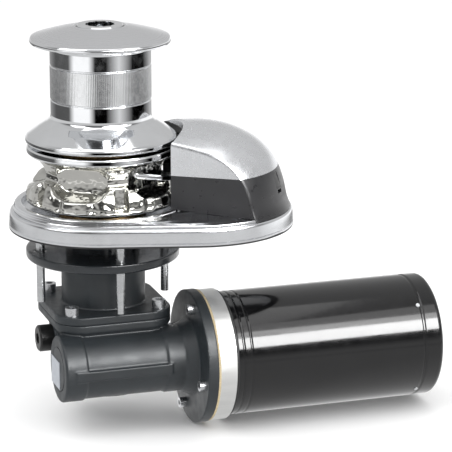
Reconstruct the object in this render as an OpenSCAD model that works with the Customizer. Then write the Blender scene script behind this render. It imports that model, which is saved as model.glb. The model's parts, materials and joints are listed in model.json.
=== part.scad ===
// Vertical anchor windlass: gypsy, warping drum and chain cover above the deck,
// worm gearbox and electric motor below it.
// Origin on the shaft axis at the deck plane, +Z up, +X along the motor.

/* [Base] */
// Radius of the base around the gypsy
base_front_r = 90; // [86:0.5:92]
// Radius of the base around the chain locker end
base_end_r = 94.5; // [90:0.1:100]
// Distance from the shaft to the centre of the wide end
base_reach = 90; // [85:0.5:100]
// Turn of the base about the shaft, seen from above
base_turn = -12; // [-30:1:0]
// Height of the side of the base
base_side_h = 17; // [15:0.5:20]
// Height of the raised rim around the gypsy
collar_top = 25; // [24:0.5:26]
// Thickness of the base gasket
gasket_t = 1.5; // [1:0.1:2]
// Radius of the hole that the chain falls through
chain_hole_r = 26; // [24:1:28]

/* [Cover] */
// Wall thickness of the cover
cover_wall = 2.5; // [2:0.1:3]
// Height of the joint between metal lid and plastic shell
cover_joint_z = 58; // [54:1:62]
// Height of the top of the dome
dome_top = 99; // [96:0.5:104]
// Radius of the cut-out that clears gypsy and drum
cover_cut_r = 78; // [76:0.5:80]
// Direction of the flat front face, seen from above
face_turn = -32.3; // [-40:0.1:-28]
// Distance of the flat front face from the shaft
face_off = 22.4; // [20:0.1:24]

/* [Gypsy and drum] */
// Number of chain pockets
pockets = 5; // [4:1:6]
// Bar diameter of the chain
chain_d = 12; // [10:1:12]
// Radius of the gypsy
gypsy_r = 73; // [71:0.5:74]
// Height of the top of the gypsy
gypsy_top = 80; // [79:0.5:81]
// Height of the bottom of the gypsy
gypsy_bottom = 25; // [24:0.5:26]
// Radius of the drum barrel
barrel_r = 48; // [46:0.5:50]
// Radius of the drum's top disc
disc_r = 67; // [64:0.5:68]
// Radius of the drum's skirt
skirt_r = 72.5; // [70:0.5:74]
// Height of the top of the drum
drum_top = 194.5; // [193.5:0.5:196]
// Radius of the clutch nut
nut_r = 22.3; // [21:0.1:23]

/* [Shaft and gearbox] */
// Radius of the main shaft
shaft_r = 12.5; // [12:0.1:13]
// Thickness of the deck space between base and flange
deck_t = 21; // [18:1:25]
// Radius of the below-deck flange
flange_r = 74; // [72:0.5:76]
// Radius of the circle of deck studs
stud_circle_r = 62; // [60:0.5:64]
// Length of the studs below the deck plane
stud_drop = 71.5; // [65:0.5:78]
// Distance between shaft and worm axes
centre_dist = 50; // [50:1:50]
// Depth of the worm axis below the deck plane
worm_drop = 125; // [124:0.5:126]
// Teeth on the worm wheel
wheel_teeth = 30; // [30:1:30]
// Radius of the worm barrel of the housing
barrel_case_r = 32; // [31:0.5:34]

/* [Motor] */
// Radius of the motor flange
motor_flange_r = 64.7; // [63:0.1:66]
// Radius of the aluminium front bell
bell_r = 63.5; // [62:0.1:64]
// Radius of the motor case
case_r = 60; // [58:0.5:61]
// Distance of the motor's far end from the shaft axis
motor_end_x = 313; // [305:1:320]

/* [Hidden] */
$fn = 96;
eps = 0.01;
run_gap = 0.05;           // radial clearance of a running fit
big = 400;                // longer than any cut needs

chrome = [0.80, 0.81, 0.82];
cast_grey = [0.20, 0.21, 0.23];
plastic_grey = [0.17, 0.17, 0.18];
steel = [0.65, 0.66, 0.68];
bronze = [0.72, 0.52, 0.28];
rubber_black = [0.05, 0.05, 0.05];
copper = [0.75, 0.40, 0.22];
gloss_black = [0.03, 0.03, 0.04];

// base
side_inset = 1.5;         // lean of the side of the base
shelf_w = 3;              // shelf that the cover's edge stands on
lip_h = 3;                // height of the lip above the shelf
collar_r = 83.5;
well_r = 77.3;            // round well that the gypsy sits in
well_z = 18;
pocket_top = 12;          // hollow underside
rim_w = 9;
hub_r = 30.5;
hub_bottom = -12;
bearing_r = 26;
bearing_z = -11;
bearing_h = 15;
seal_r = 20;
seal_h = 7;
stud_r = 4;
stud_shank_r = 4.3;       // the part of a stud that passes base, deck and flange
stud_shank_end = -31;
stud_boss_r = 9;
chain_hole_at = [105.8, -12.3];
base_c = [base_reach * cos(base_turn), base_reach * sin(base_turn)];

// pressure lever
lever_at = [64, -48];
lever_z = 50.5;
lever_t = 6;
lever_hub_r = 7;
lever_end_r = 3;
pin_r = 4;
pin_boss_r = 5;
lever_path = [
    [64, -48, 0], [52, -48.5, 0.3], [42, -53.5, 2.3], [28, -59, 5.5], [12, -64, 9.3]
];

// chain stripper
strip_turn = 12;
strip_z = 52.2;
strip_t = 5;
strip_from = 65;
strip_to = 96;
strip_post_r = 7;
strip_post_at = 87;

// cover
dome_from = 60;           // the dome runs between two points on the base's axis
dome_foot_r = 91.5;
dome_profile = [
    [0, dome_top], [10, dome_top - 0.4], [20, dome_top - 1.5],
    [34, dome_top - 4.8], [48, dome_top - 10.7], [58, dome_top - 16.7],
    [66, dome_top - 23.2], [73, dome_top - 31], [79, dome_top - 41],
    [84.5, dome_top - 56.5], [88.4, dome_top - 74], [dome_foot_r, base_side_h]
];
top_wall_z = 84;          // lower edge of the lid's wall at the drum
latch_turn = -38;
latch_w = 10.6;
latch_z = [41.5, 55.5];
latch_gap = 0.3;

// gypsy: cone surfaces of the clutch
cone_r = 42;
cone_small_r = 34;
cone_h = 22;
cone_gap = 0.2;
cone_slope = (cone_r - cone_small_r) / cone_h;
cone_base_z = 20;
groove_z = 54.5;
waist_r = 57;
pocket_turn = 18;
pocket_at_r = 49.5;
pocket_end_r = chain_d * 1.15;
pocket_half = 13;
link_slot_w = 12;          // upright slots in the lower flange, between the pockets
link_slot_r = 62;
link_slot_z = [30, 52];

// drum
drum_bottom = 83.5;
cone_top_z = 88;
cavity_top = 145;
hub_wall_r = 24;
nut_floor = 154;
washer_h = 4;
nut_bottom = nut_floor + washer_h;
nut_top = drum_top + 1;
socket_floor = 176;
socket_r = 14.5;
thread_r = 10;
shaft_top = 178.3;
knurl_z = [125.5, 157];
keyway_w = 8;
key_in = shaft_r - 4;
key_out = shaft_r + 3.3;

// below deck
flange_z = -deck_t;
flange_t = 8.8;
neck_r = 40.5;
plate_top = -75;
plate_t = 8;
plate_half = 57;
plate_corner_r = 26;
screw_at = 43;
tube_r = 36;
tube_in_r = 31;
neck_bearing_z = -82;
housing_top = plate_top - plate_t;
chamber_r = 46;
chamber_in_r = 40;
housing_bottom = -160;
lower_bearing_z = -157;
lower_bearing_h = 12;
lower_bearing_r = 23.5;
shaft_bottom = -158;
wheel_r = centre_dist - 14;      // pitch radius; 14 is the worm's
wheel_add = 2.2;
wheel_root = wheel_r - 2.7;
wheel_t = 18;
worm_pitch_r = 14;
worm_root_r = 11.4;
worm_tip_r = worm_pitch_r + 2.2;
worm_lead = 2 * PI * wheel_r / wheel_teeth;
worm_len = 4 * worm_lead;
worm_y = -centre_dist;
worm_z = -worm_drop;
worm_shaft_r = 10;
worm_bearing_r = 21;
worm_bearing_w = 12;
barrel_left = -59;
neck_x = 60;
motor_flange_x = 71;
motor_flange_t = 10.3;
plug_at = [-50, 10, -112];
plug_r = 13;

// motor, measured along X
gasket_x = motor_flange_x + motor_flange_t;
bell_x = gasket_x + 2;
bead_x = 99.5;
case_x = 103;
cap_x = 296;
case_in_r = 56;
motor_shaft_r = 8.5;
rotor_x = [135, 225];
rotor_r = 47.5;
comm_x = [243, 266];
comm_r = 22;
flange_screw_r = 53;
flange_screw_turn = 15;
terminal_x = [262, 284];
post_shank_r = 4.4;
post_shank_end = 14.3;

// ---------- helpers ----------

// Egg-shaped slab: outline of the base, drawn in by inset, from z0 to z1.
module egg(inset, z0, z1) {
    hull() {
        translate([0, 0, z0]) cylinder(r = base_front_r - inset, h = z1 - z0);
        translate([base_c.x, base_c.y, z0])
            cylinder(r = base_end_r - inset, h = z1 - z0);
    }
}

// Outside of the base above the deck, without its wells and holes.
module base_envelope() {
    base_side();
    base_crown();
}

module base_side() {
    hull() {
        egg_rings(0, gasket_t, 2);
        egg_rings(side_inset, base_side_h - 1, 1);
    }
}

module base_crown() {
    in = side_inset + shelf_w;
    hull() {
        egg_rings(in, base_side_h - 1, 1 + lip_h);
        translate([0, 0, collar_top - 1]) cylinder(r = collar_r, h = 1);
    }
}

module egg_rings(inset, z0, h) {
    translate([0, 0, z0]) cylinder(r = base_front_r - inset, h = h);
    translate([base_c.x, base_c.y, z0])
        cylinder(r = base_end_r - inset, h = h);
}

module on_worm_axis(x) {
    translate([x, worm_y, worm_z]) rotate([0, 90, 0]) children();
}

module tube(r, r_in, h) {
    difference() {
        cylinder(r = r, h = h);
        translate([0, 0, -1]) cylinder(r = r_in, h = h + 2);
    }
}

module bearing(r, r_in, h) {
    groove_mid = (r + r_in) / 2;
    difference() {
        tube(r, r_in, h);
        for (z = [-eps, h - 0.8])
            translate([0, 0, z]) tube(groove_mid + 3.5, groove_mid - 3.5, 0.8 + eps);
    }
}

module cap_screw(r, head_r, head_h, len) {
    difference() {
        union() {
            translate([0, 0, -len]) cylinder(r = r, h = len);
            cylinder(r = head_r, h = head_h);
        }
        translate([0, 0, head_h * 0.4])
            cylinder(r = head_r * 0.55, h = head_h, $fn = 6);
    }
}

module rounded_plate(half, corner, z, h) {
    c = half - corner;
    translate([0, 0, z]) hull() for (x = [-c, c], y = [-c, c])
        translate([x, y, 0]) cylinder(r = corner, h = h, $fn = 64);
}

module keyway(z0, z1, turn) {
    rotate(turn) translate([key_in, -keyway_w / 2, z0])
        cube([key_out - key_in, keyway_w, z1 - z0]);
}

module plate_screw_places() {
    for (x = [-screw_at, screw_at], y = [-screw_at, screw_at])
        translate([x, y, 0]) children();
}

module stud_places() {
    for (a = [0 : 90 : 270]) rotate(a) translate([stud_circle_r, 0, 0]) children();
}

module flange_screw_places(x) {
    on_worm_axis(x) for (a = [0 : 90 : 270]) rotate(a + flange_screw_turn)
        translate([0, flange_screw_r, 0]) children();
}

// ---------- above the deck ----------

module base_plate() {
    color(chrome) difference() {
        union() {
            difference() {
                base_envelope();
                egg(rim_w, gasket_t - 1, pocket_top);
                translate([0, 0, well_z]) cylinder(r = well_r, h = 20);
            }
            translate([0, 0, hub_bottom])
                cylinder(r = hub_r, h = well_z - hub_bottom);
            stud_places() translate([0, 0, gasket_t])
                cylinder(r = stud_boss_r, h = pocket_top);
            translate([chain_hole_at.x, chain_hole_at.y, gasket_t])
                cylinder(r = chain_hole_r + 4, h = 15);
            translate([lever_at.x, lever_at.y, gasket_t])
                cylinder(r = pin_boss_r + 3, h = 18);
            rotate(strip_turn) translate([strip_post_at, 0, gasket_t])
                cylinder(r = strip_post_r, h = strip_z - gasket_t);
        }
        translate([0, 0, bearing_z - 2])
            cylinder(r = bearing_r, h = bearing_h + 2);
        translate([0, 0, bearing_z]) cylinder(r = seal_r, h = 40);
        stud_places() cylinder(r = stud_shank_r, h = pocket_top);
        translate([chain_hole_at.x, chain_hole_at.y, -5])
            cylinder(r = chain_hole_r, h = 50);
        translate([lever_at.x, lever_at.y, 6]) cylinder(r = pin_r, h = 40);
        strip_screw_places() translate([0, 0, strip_z - 14])
            cylinder(r = 2.5, h = 20);
    }
}

module base_gasket() {
    color(rubber_black) difference() {
        egg(0.4, 0, gasket_t);
        egg(rim_w - 1, -1, gasket_t + 1);
    }
}

module shaft_seal() {
    color(rubber_black) translate([0, 0, bearing_z + bearing_h + 2])
        tube(seal_r, shaft_r + run_gap, seal_h);
}

module upper_bearing() {
    color(steel) translate([0, 0, bearing_z])
        bearing(bearing_r, shaft_r + run_gap, bearing_h);
}

module deck_studs() {
    color(steel) stud_places() {
        translate([0, 0, -stud_drop]) cylinder(r = stud_r, h = stud_drop);
        translate([0, 0, stud_shank_end])
            cylinder(r = stud_shank_r, h = pocket_top - 1 - stud_shank_end);
    }
}

module strip_screw_places() {
    rotate(strip_turn) translate([strip_post_at, 0, 0]) children();
}

module chain_stripper() {
    w = 12;
    color(chrome) difference() {
        rotate(strip_turn) translate([0, 0, strip_z]) union() {
            translate([strip_from, -w / 2, 0])
                cube([strip_to - strip_from, w, strip_t]);
            translate([strip_from, 0, 0]) cylinder(r = w / 2, h = strip_t);
        }
        strip_screw_places() translate([0, 0, strip_z - 1])
            cylinder(r = 2.7, h = strip_t + 2);
    }
}

module stripper_screws() {
    color(steel) strip_screw_places() translate([0, 0, strip_z + strip_t])
        cap_screw(2.5, 4.3, 4, 18);
}

module lever_pin() {
    color(steel) translate([lever_at.x, lever_at.y, 0]) {
        translate([0, 0, 8]) cylinder(r = pin_r, h = lever_z + lever_t - 5);
        translate([0, 0, lever_z + lever_t + 0.3]) cylinder(r = 6, h = 2.5);
    }
}

module pressure_lever() {
    color(chrome) difference() {
        union() {
            translate([lever_at.x, lever_at.y, lever_z])
                cylinder(r = lever_hub_r, h = lever_t);
            for (i = [0 : len(lever_path) - 2]) lever_link(i);
        }
        translate([lever_at.x, lever_at.y, lever_z - 1])
            cylinder(r = pin_r + run_gap, h = lever_t + 2);
    }
}

// One length of the lever, round at both ends and rising towards its tip.
module lever_link(i) {
    hull() for (p = [lever_path[i], lever_path[i + 1]])
        translate([p.x, p.y, lever_z + p.z]) cylinder(r = lever_end_r, h = lever_t, $fn = 32);
}

// Torsion spring around the pin, below the lever.
module lever_spring() {
    turns = 4;
    wire = 0.8;
    coil_r = 6.2;
    pitch = 2.4;
    steps = 20;
    sides = 8;
    n = turns * steps;
    ring = [for (i = [0 : n]) let (a = 360 * i / steps, z = pitch * i / steps)
        [for (k = [0 : sides - 1]) let (b = -360 * k / sides, r = coil_r + wire * cos(b))
            [r * cos(a), r * sin(a), z + wire * sin(b)]]];
    points = [for (r = ring) for (p = r) p];
    walls = [for (i = [0 : n - 1], k = [0 : sides - 1])
        [i * sides + k, i * sides + (k + 1) % sides,
         (i + 1) * sides + (k + 1) % sides, (i + 1) * sides + k]];
    ends = [[for (k = [sides - 1 : -1 : 0]) k],
            [for (k = [0 : sides - 1]) n * sides + k]];
    color(steel) translate([lever_at.x, lever_at.y, 36])
        polyhedron(points, concat(walls, ends), convexity = 8);
}

// One side of the dome's section; both of its walls move in by inset.
function dome_section(inset) = concat(
    [for (p = dome_profile) [
        max(0, p.x - (p.x > 0 ? inset : 0)),
        p.y > base_side_h ? p.y - inset * (1 - p.x / 100) : p.y]],
    [[dome_foot_r - inset, 0], [0, 0]]);

// Dome with two round ends, long in the direction of the base's axis.
module dome_solid(inset) {
    half = dome_section(inset);
    rotate(base_turn) {
        translate([base_reach, 0, 0]) rotate(-90) rotate_extrude(angle = 180) polygon(half);
        translate([dome_from, 0, 0]) rotate(90) rotate_extrude(angle = 180) polygon(half);
        translate([dome_from, 0, 0]) rotate([90, 0, 90])
            linear_extrude(base_reach - dome_from)
                polygon(concat(half, [for (i = [len(half) - 3 : -1 : 1]) [-half[i].x, half[i].y]],
                    [[-half[0].x, half[0].y]]));
    }
}

// Solid form of the cover: dome, cut flat in front and round at the drum.
module cover_form(inset) {
    difference() {
        dome_solid(inset);
        front_cut(inset);
        rotate(2 * base_turn) mirror([0, 1, 0]) front_cut(inset);
    }
}

module front_cut(inset) {
    rotate(face_turn) translate([-big / 2, -face_off - big + inset, -1])
        cube([big, big, big]);
}

module cover_body() {
    difference() {
        cover_form(0);
        difference() {
            translate([0, 0, -eps]) cover_form(cover_wall);
            translate([0, 0, top_wall_z]) cylinder(r = cover_cut_r + cover_wall, h = 60);
        }
        translate([0, 0, -5]) cylinder(r = cover_cut_r, h = 200);
    }
}

module latch_window(gap) {
    translate([base_c.x, base_c.y, 0]) rotate(latch_turn)
        translate([70, -latch_w / 2 - gap, latch_z[0] - gap])
            cube([30, latch_w + 2 * gap, latch_z[1] - latch_z[0] + 2 * gap]);
}

module cover_lid() {
    color(chrome) difference() {
        cover_body();
        translate([-big / 2, -big / 2, cover_joint_z - big]) cube(big);
    }
}

module cover_shell() {
    color(plastic_grey) difference() {
        cover_body();
        translate([-big / 2, -big / 2, cover_joint_z]) cube(big);
        translate([0, 0, 0.3]) base_envelope();
        translate([-big / 2, -big / 2, base_side_h + 0.3 - big]) cube(big);
        latch_window(latch_gap);
        translate([base_c.x, base_c.y, 0]) rotate(latch_turn)
            translate([70, -4.5, latch_z[0] - 5]) cube([30, 9, 3.4]);
    }
}

module cover_latch() {
    color(plastic_grey) intersection() {
        cover_body();
        latch_window(0);
    }
}

// ---------- shaft, clutch, gypsy and drum ----------

module main_shaft() {
    color(steel) difference() {
        union() {
            translate([0, 0, shaft_bottom]) cylinder(r = shaft_r, h = nut_floor - shaft_bottom);
            translate([0, 0, nut_floor - 1]) cylinder(r = thread_r, h = shaft_top - nut_floor + 1);
            translate([0, 0, well_z - 3.5]) cylinder(r = 17, h = 5.5);
        }
        keyway(26, 86, 90);
        keyway(92, 148, 0);
        keyway(-139, -111, 180);
        translate([0, 0, -108]) tube(shaft_r + 1, shaft_r - 1, 1.6);
        translate([0, 0, shaft_top - 20]) cylinder(r = 4, h = 30);
    }
}

module shaft_keys() {
    color(steel) {
        keyway(26, 46, 90);
        keyway(60, 86, 90);
        keyway(92, 148, 0);
        keyway(-139, -111, 180);
    }
}

module lower_cone() {
    color(bronze) difference() {
        union() {
            translate([0, 0, cone_base_z])
                cylinder(r = cone_r, h = gypsy_bottom - cone_base_z);
            translate([0, 0, gypsy_bottom])
                cylinder(r1 = cone_r, r2 = cone_small_r, h = cone_h);
        }
        translate([0, 0, cone_base_z - 1]) cylinder(r = shaft_r, h = 40);
        keyway(cone_base_z - 1, 60, 90);
    }
}

module upper_cone() {
    top = gypsy_top + 1;
    color(bronze) difference() {
        union() {
            translate([0, 0, top - cone_h])
                cylinder(r1 = cone_small_r, r2 = cone_r, h = cone_h);
            translate([0, 0, top]) cylinder(r = cone_small_r + 6, h = cone_top_z - top);
        }
        translate([0, 0, 40]) cylinder(r = shaft_r, h = 60);
        keyway(40, 100, 90);
    }
}

module gypsy() {
    gypsy_profile = [
        [20, gypsy_bottom], [gypsy_r - 3, gypsy_bottom], [gypsy_r - 0.8, gypsy_bottom + 0.8],
        [gypsy_r, gypsy_bottom + 3], [gypsy_r, gypsy_bottom + 7], [71.5, 39], [68.7, 46],
        [66, 48.6], [60, 50.6], [waist_r, 51.4], [waist_r, 58], [58.6, 60.5],
        [60.5, 65], [62.5, 68.5], [70.5, 73], [71.5, 74.2], [71.5, gypsy_top - 1.4],
        [70.4, gypsy_top], [20, gypsy_top]
    ];
    color(chrome) difference() {
        rotate_extrude() polygon(gypsy_profile);
        for (i = [0 : pockets - 1]) rotate(360 * i / pockets + pocket_turn) {
            link_pocket();
            rotate(180 / pockets) translate([link_slot_r, -link_slot_w / 2, link_slot_z[0]])
                cube([20, link_slot_w, link_slot_z[1] - link_slot_z[0]]);
        }
        translate([0, 0, gypsy_bottom - 1])
            cylinder(r1 = cone_r + cone_gap + cone_slope, r2 = cone_small_r + cone_gap, h = cone_h + 1);
        translate([0, 0, gypsy_top + 1 - cone_h])
            cylinder(r1 = cone_small_r + cone_gap, r2 = cone_r + cone_gap, h = cone_h);
        translate([0, 0, gypsy_bottom]) cylinder(r = 30, h = 70);
    }
}

// Room for one flat-lying link, seen along the radius, and its drain slot.
module link_pocket() {
    translate([pocket_at_r, 0, groove_z]) rotate([90, 0, 90]) {
        for (s = [-1, 1]) translate([s * pocket_half, 0, 0])
            cylinder(r = pocket_end_r, h = 40, $fn = 64);
        translate([-pocket_half, -pocket_end_r + 0.2, 0])
            cube([2 * pocket_half, 2 * pocket_end_r - 0.4, 40]);
    }
}

module drum() {
    drum_profile = [
        [shaft_r, cone_top_z], [hub_wall_r, cone_top_z], [hub_wall_r, cavity_top],
        [41, cavity_top], [41, cone_top_z + 2], [cone_small_r + 6.3, cone_top_z + 2],
        [cone_small_r + 6.3, drum_bottom], [skirt_r - 1.2, drum_bottom],
        [skirt_r, drum_bottom + 1.2], [skirt_r, drum_bottom + 5],
        [skirt_r - 1.5, drum_bottom + 6.6], [60, 98], [52, 103], [49, 105.5],
        [barrel_r, 108], [barrel_r, knurl_z[0] - 1.5],
        [barrel_r - 0.7, knurl_z[0] - 1], [barrel_r - 0.7, knurl_z[0]],
        [barrel_r + 0.2, knurl_z[0] + 0.5], [barrel_r + 0.2, knurl_z[1] - 0.5],
        [barrel_r - 0.7, knurl_z[1]], [barrel_r - 0.7, knurl_z[1] + 1],
        [barrel_r, knurl_z[1] + 1.5], [barrel_r, 174], [50, 176.4], [54, 177.6],
        [disc_r - 2.5, 178.4], [disc_r - 0.8, 179], [disc_r, 180.4],
        [disc_r, 182.4], [disc_r - 0.8, 183.6], [disc_r - 3, 184.4],
        [48, 189], [34, 192.3], [26, drum_top - 0.8], [24.5, drum_top],
        [nut_r + 0.5, drum_top], [nut_r + 0.5, nut_floor], [shaft_r, nut_floor]
    ];
    color(chrome) difference() {
        rotate_extrude() polygon(drum_profile);
        keyway(cone_top_z - 1, nut_floor + 1, 0);
    }
}

module thrust_washer() {
    color(bronze) translate([0, 0, nut_floor]) tube(nut_r, thread_r + 0.3, washer_h);
}

module clutch_nut() {
    color(steel) difference() {
        translate([0, 0, nut_bottom]) union() {
            cylinder(r = nut_r, h = nut_top - nut_bottom - 1);
            translate([0, 0, nut_top - nut_bottom - 1])
                cylinder(r1 = nut_r, r2 = nut_r - 1, h = 1);
        }
        translate([0, 0, nut_bottom - 1]) cylinder(r = thread_r + run_gap, h = 40);
        for (turn = [0, 30]) rotate(turn) translate([0, 0, socket_floor])
            cylinder(r = socket_r, h = 40, $fn = 6);
    }
}

module shaft_end_washer() {
    color(steel) translate([0, 0, shaft_top]) tube(12.2, 4.2, 2);
}

module shaft_end_screw() {
    color(steel) translate([0, 0, shaft_top + 2]) cap_screw(4, 6.3, 4.5, 18);
}

// ---------- below the deck ----------

module deck_tube() {
    color(cast_grey) translate([0, 0, flange_z]) tube(tube_r, tube_in_r, deck_t + pocket_top);
}

module deck_flange() {
    color(cast_grey) difference() {
        union() {
            translate([0, 0, flange_z - flange_t + 1.5]) cylinder(r = flange_r, h = flange_t - 1.5);
            translate([0, 0, flange_z - flange_t])
                cylinder(r1 = flange_r - 1.5, r2 = flange_r, h = 1.5);
            translate([0, 0, plate_top - 1]) cylinder(r = neck_r, h = 50);
            translate([0, 0, flange_z - flange_t - 4])
                cylinder(r1 = neck_r, r2 = neck_r + 6, h = 4);
            rounded_plate(plate_half, plate_corner_r, housing_top, plate_t);
        }
        translate([0, 0, housing_top - 1]) cylinder(r = bearing_r, h = bearing_h + 2);
        translate([0, 0, housing_top]) cylinder(r = seal_r, h = 40);
        translate([0, 0, -58]) cylinder(r = tube_in_r, h = 60);
        stud_places() translate([0, 0, flange_z - 20]) cylinder(r = stud_r + 0.5, h = 40);
        plate_screw_places() translate([0, 0, housing_top - 1])
            cylinder(r = stud_r + 0.5, h = plate_t + 2);
    }
}

module neck_bearing() {
    color(steel) translate([0, 0, neck_bearing_z])
        bearing(bearing_r, shaft_r + run_gap, bearing_h);
}

module neck_seal() {
    color(rubber_black) translate([0, 0, neck_bearing_z + bearing_h + 1])
        tube(seal_r, shaft_r + run_gap, seal_h);
}

module plate_screws() {
    color(steel) plate_screw_places() translate([0, 0, plate_top])
        cap_screw(4, 6.5, 8, 24);
}

// Wall between two levels, round at the corners and drawn in towards the bottom.
module tapered_box(half, corner, z, low_half, low_corner, low_z) {
    hull() {
        for (x = [-1, 1], y = [-1, 1]) {
            translate([x * (half - corner), y * (half - corner), z - 1])
                cylinder(r = corner, h = 1, $fn = 64);
            translate([x * (low_half - low_corner), y * (low_half - low_corner), low_z])
                cylinder(r = low_corner, h = 1, $fn = 64);
        }
    }
}

module housing_outside() {
    rounded_plate(plate_half, plate_corner_r, housing_top - 7, 7);
    tapered_box(plate_half, plate_corner_r, housing_top - 6, 47, 21, housing_top - 20);
    tapered_box(47, 21, housing_top - 18, 45, 22, -148);
    translate([0, 0, housing_bottom]) cylinder(r = chamber_r, h = 20);
    translate([0, 0, housing_bottom - 3]) cylinder(r1 = 28, r2 = 34, h = 5);
    on_worm_axis(barrel_left + 1) cylinder(r = barrel_case_r, h = 20);
    on_worm_axis(barrel_left) cylinder(r1 = barrel_case_r - 1.5, r2 = barrel_case_r, h = 1.5);
    on_worm_axis(-40) cylinder(r = barrel_case_r - 1.4, h = 84);
    on_worm_axis(42) cylinder(r = barrel_case_r, h = 20);
    translate([-49, worm_y - barrel_case_r - 1, worm_z - 5]) cube([94, 20, 10]);
    on_worm_axis(neck_x) cylinder(r1 = 33, r2 = 38, h = motor_flange_x - neck_x + 1);
    on_worm_axis(motor_flange_x) cylinder(r = motor_flange_r, h = motor_flange_t);
    translate([plug_at.x, plug_at.y, plug_at.z]) rotate([0, 90, 0])
        cylinder(r = plug_r + 2, h = 14);
}

module gearbox_housing() {
    color(cast_grey) difference() {
        housing_outside();
        translate([0, 0, -145]) cylinder(r = chamber_in_r, h = 80);
        translate([0, 0, lower_bearing_z]) cylinder(r = lower_bearing_r, h = 20);
        translate([0, 0, shaft_bottom - 0.5]) cylinder(r = shaft_r + 1, h = 5);
        on_worm_axis(barrel_left - 1) cylinder(r = worm_bearing_r, h = 20);
        on_worm_axis(-45) cylinder(r = 17.5, h = 95);
        on_worm_axis(40) cylinder(r = worm_bearing_r, h = worm_bearing_w);
        on_worm_axis(50) cylinder(r = 18, h = 12);
        on_worm_axis(61) cylinder(r = 17.5, h = 10);
        on_worm_axis(68) cylinder(r = 30, h = 20);
        plate_screw_places() translate([0, 0, -100]) cylinder(r = 4, h = 30);
        translate([0, 0, housing_top - 2.2]) tube(47.7, 44.3, 5);
        translate([plug_at.x - 1, plug_at.y, plug_at.z]) rotate([0, 90, 0])
            cylinder(r = 8, h = 20);
        flange_screw_places(motor_flange_x - 5) cylinder(r = 3.3, h = 30);
    }
}

module housing_oring() {
    color(rubber_black) translate([0, 0, housing_top - 1.1])
        rotate_extrude() translate([46, 0]) circle(r = 1.09, $fn = 32);
}

module oil_plug() {
    color(gloss_black) translate([plug_at.x - 14, plug_at.y, plug_at.z]) rotate([0, 90, 0])
        difference() {
            union() {
                cylinder(r1 = plug_r - 1.5, r2 = plug_r, h = 1.5);
                translate([0, 0, 1.5]) cylinder(r = plug_r, h = 12.5);
                translate([0, 0, 14]) cylinder(r = 8, h = 9);
            }
            translate([0, 0, -1]) cylinder(r = 6, h = 6, $fn = 6);
        }
}

module worm_end_cap() {
    color(cast_grey) on_worm_axis(barrel_left) cylinder(r = worm_bearing_r, h = 6);
}

module label_plate() {
    color([0.7, 0.7, 0.7]) translate([barrel_left - 0.6, worm_y - 6, worm_z - 19])
        cube([0.6, 30, 27]);
}

module worm_wheel() {
    lead_angle = atan(worm_lead / (2 * PI * worm_pitch_r));
    color(bronze) difference() {
        translate([0, 0, worm_z]) union() {
            translate([0, 0, -wheel_t / 2]) cylinder(r = wheel_root, h = wheel_t);
            translate([0, 0, -17]) cylinder(r = 20, h = 34);
            for (i = [0 : wheel_teeth - 1]) rotate(360 * i / wheel_teeth)
                rotate([lead_angle, 0, 0]) wheel_tooth();
        }
        translate([0, 0, worm_z - 20]) cylinder(r = shaft_r, h = 40);
        keyway(worm_z - 20, worm_z + 20, 180);
    }
}

module wheel_tooth() {
    tip = wheel_r + wheel_add;
    translate([0, 0, -7]) linear_extrude(14) polygon([
        [wheel_root - 1, -2.1], [wheel_r, -1.15], [tip, -0.6],
        [tip, 0.6], [wheel_r, 1.15], [wheel_root - 1, 2.1]]);
}

module wheel_circlip() {
    color(steel) translate([0, 0, -107.95]) difference() {
        tube(16, shaft_r - 1, 1.5);
        translate([0, -3, -1]) cube([20, 6, 4]);
    }
}

module lower_bearing() {
    color(steel) translate([0, 0, lower_bearing_z])
        bearing(lower_bearing_r, shaft_r + run_gap, lower_bearing_h);
}

// Radius of the worm's thread at a turn of a degrees about its axis.
function thread_r_at(a) =
    let (u = abs((a % 360) / 360 - 0.5) * worm_lead)
    u < 0.75 ? worm_tip_r
    : u > 2.35 ? worm_root_r
    : worm_tip_r - (u - 0.75) / 1.6 * (worm_tip_r - worm_root_r);

module worm_shaft() {
    crest = 0.75 / worm_lead * 360;
    root = 2.35 / worm_lead * 360;
    angles = concat(
        [for (a = [0 : 22.5 : 180 - root - 1]) a],
        [180 - root, 180 - (root + crest) / 2, 180 - crest, 180,
         180 + crest, 180 + (root + crest) / 2, 180 + root],
        [for (a = [180 + root + 22.5 : 22.5 : 359]) a]);
    color(steel) union() {
        on_worm_axis(-worm_len / 2) rotate(-90)
            linear_extrude(height = worm_len, twist = -4 * 360, slices = 96, $fn = 24)
                polygon([for (a = angles) thread_r_at(a) * [cos(a), sin(a)]]);
        on_worm_axis(-52) cylinder(r = worm_shaft_r, h = 118);
        on_worm_axis(-40) cylinder(r = worm_root_r - 0.7, h = 80);
    }
}

module worm_bearings() {
    color(steel) for (x = [-52, 40]) on_worm_axis(x)
        bearing(worm_bearing_r, worm_shaft_r + run_gap, worm_bearing_w);
}

module worm_seal() {
    color(rubber_black) on_worm_axis(53)
        tube(18, worm_shaft_r + run_gap, 7);
}

module motor_coupling() {
    color(steel) difference() {
        on_worm_axis(62) cylinder(r = 15, h = 24);
        on_worm_axis(61) cylinder(r = worm_shaft_r, h = 13);
        on_worm_axis(70) cylinder(r = motor_shaft_r, h = 20);
    }
}

// ---------- motor ----------

module flange_screws() {
    color(steel) flange_screw_places(motor_flange_x) rotate([180, 0, 0])
        cap_screw(3, 5, 6, 24);
}

module motor_gasket() {
    color([0.78, 0.70, 0.55]) difference() {
        on_worm_axis(gasket_x) tube(bell_r + 0.5, 30, bell_x - gasket_x);
        flange_screw_places(gasket_x - 2) cylinder(r = 3.3, h = 10);
    }
}

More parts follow.
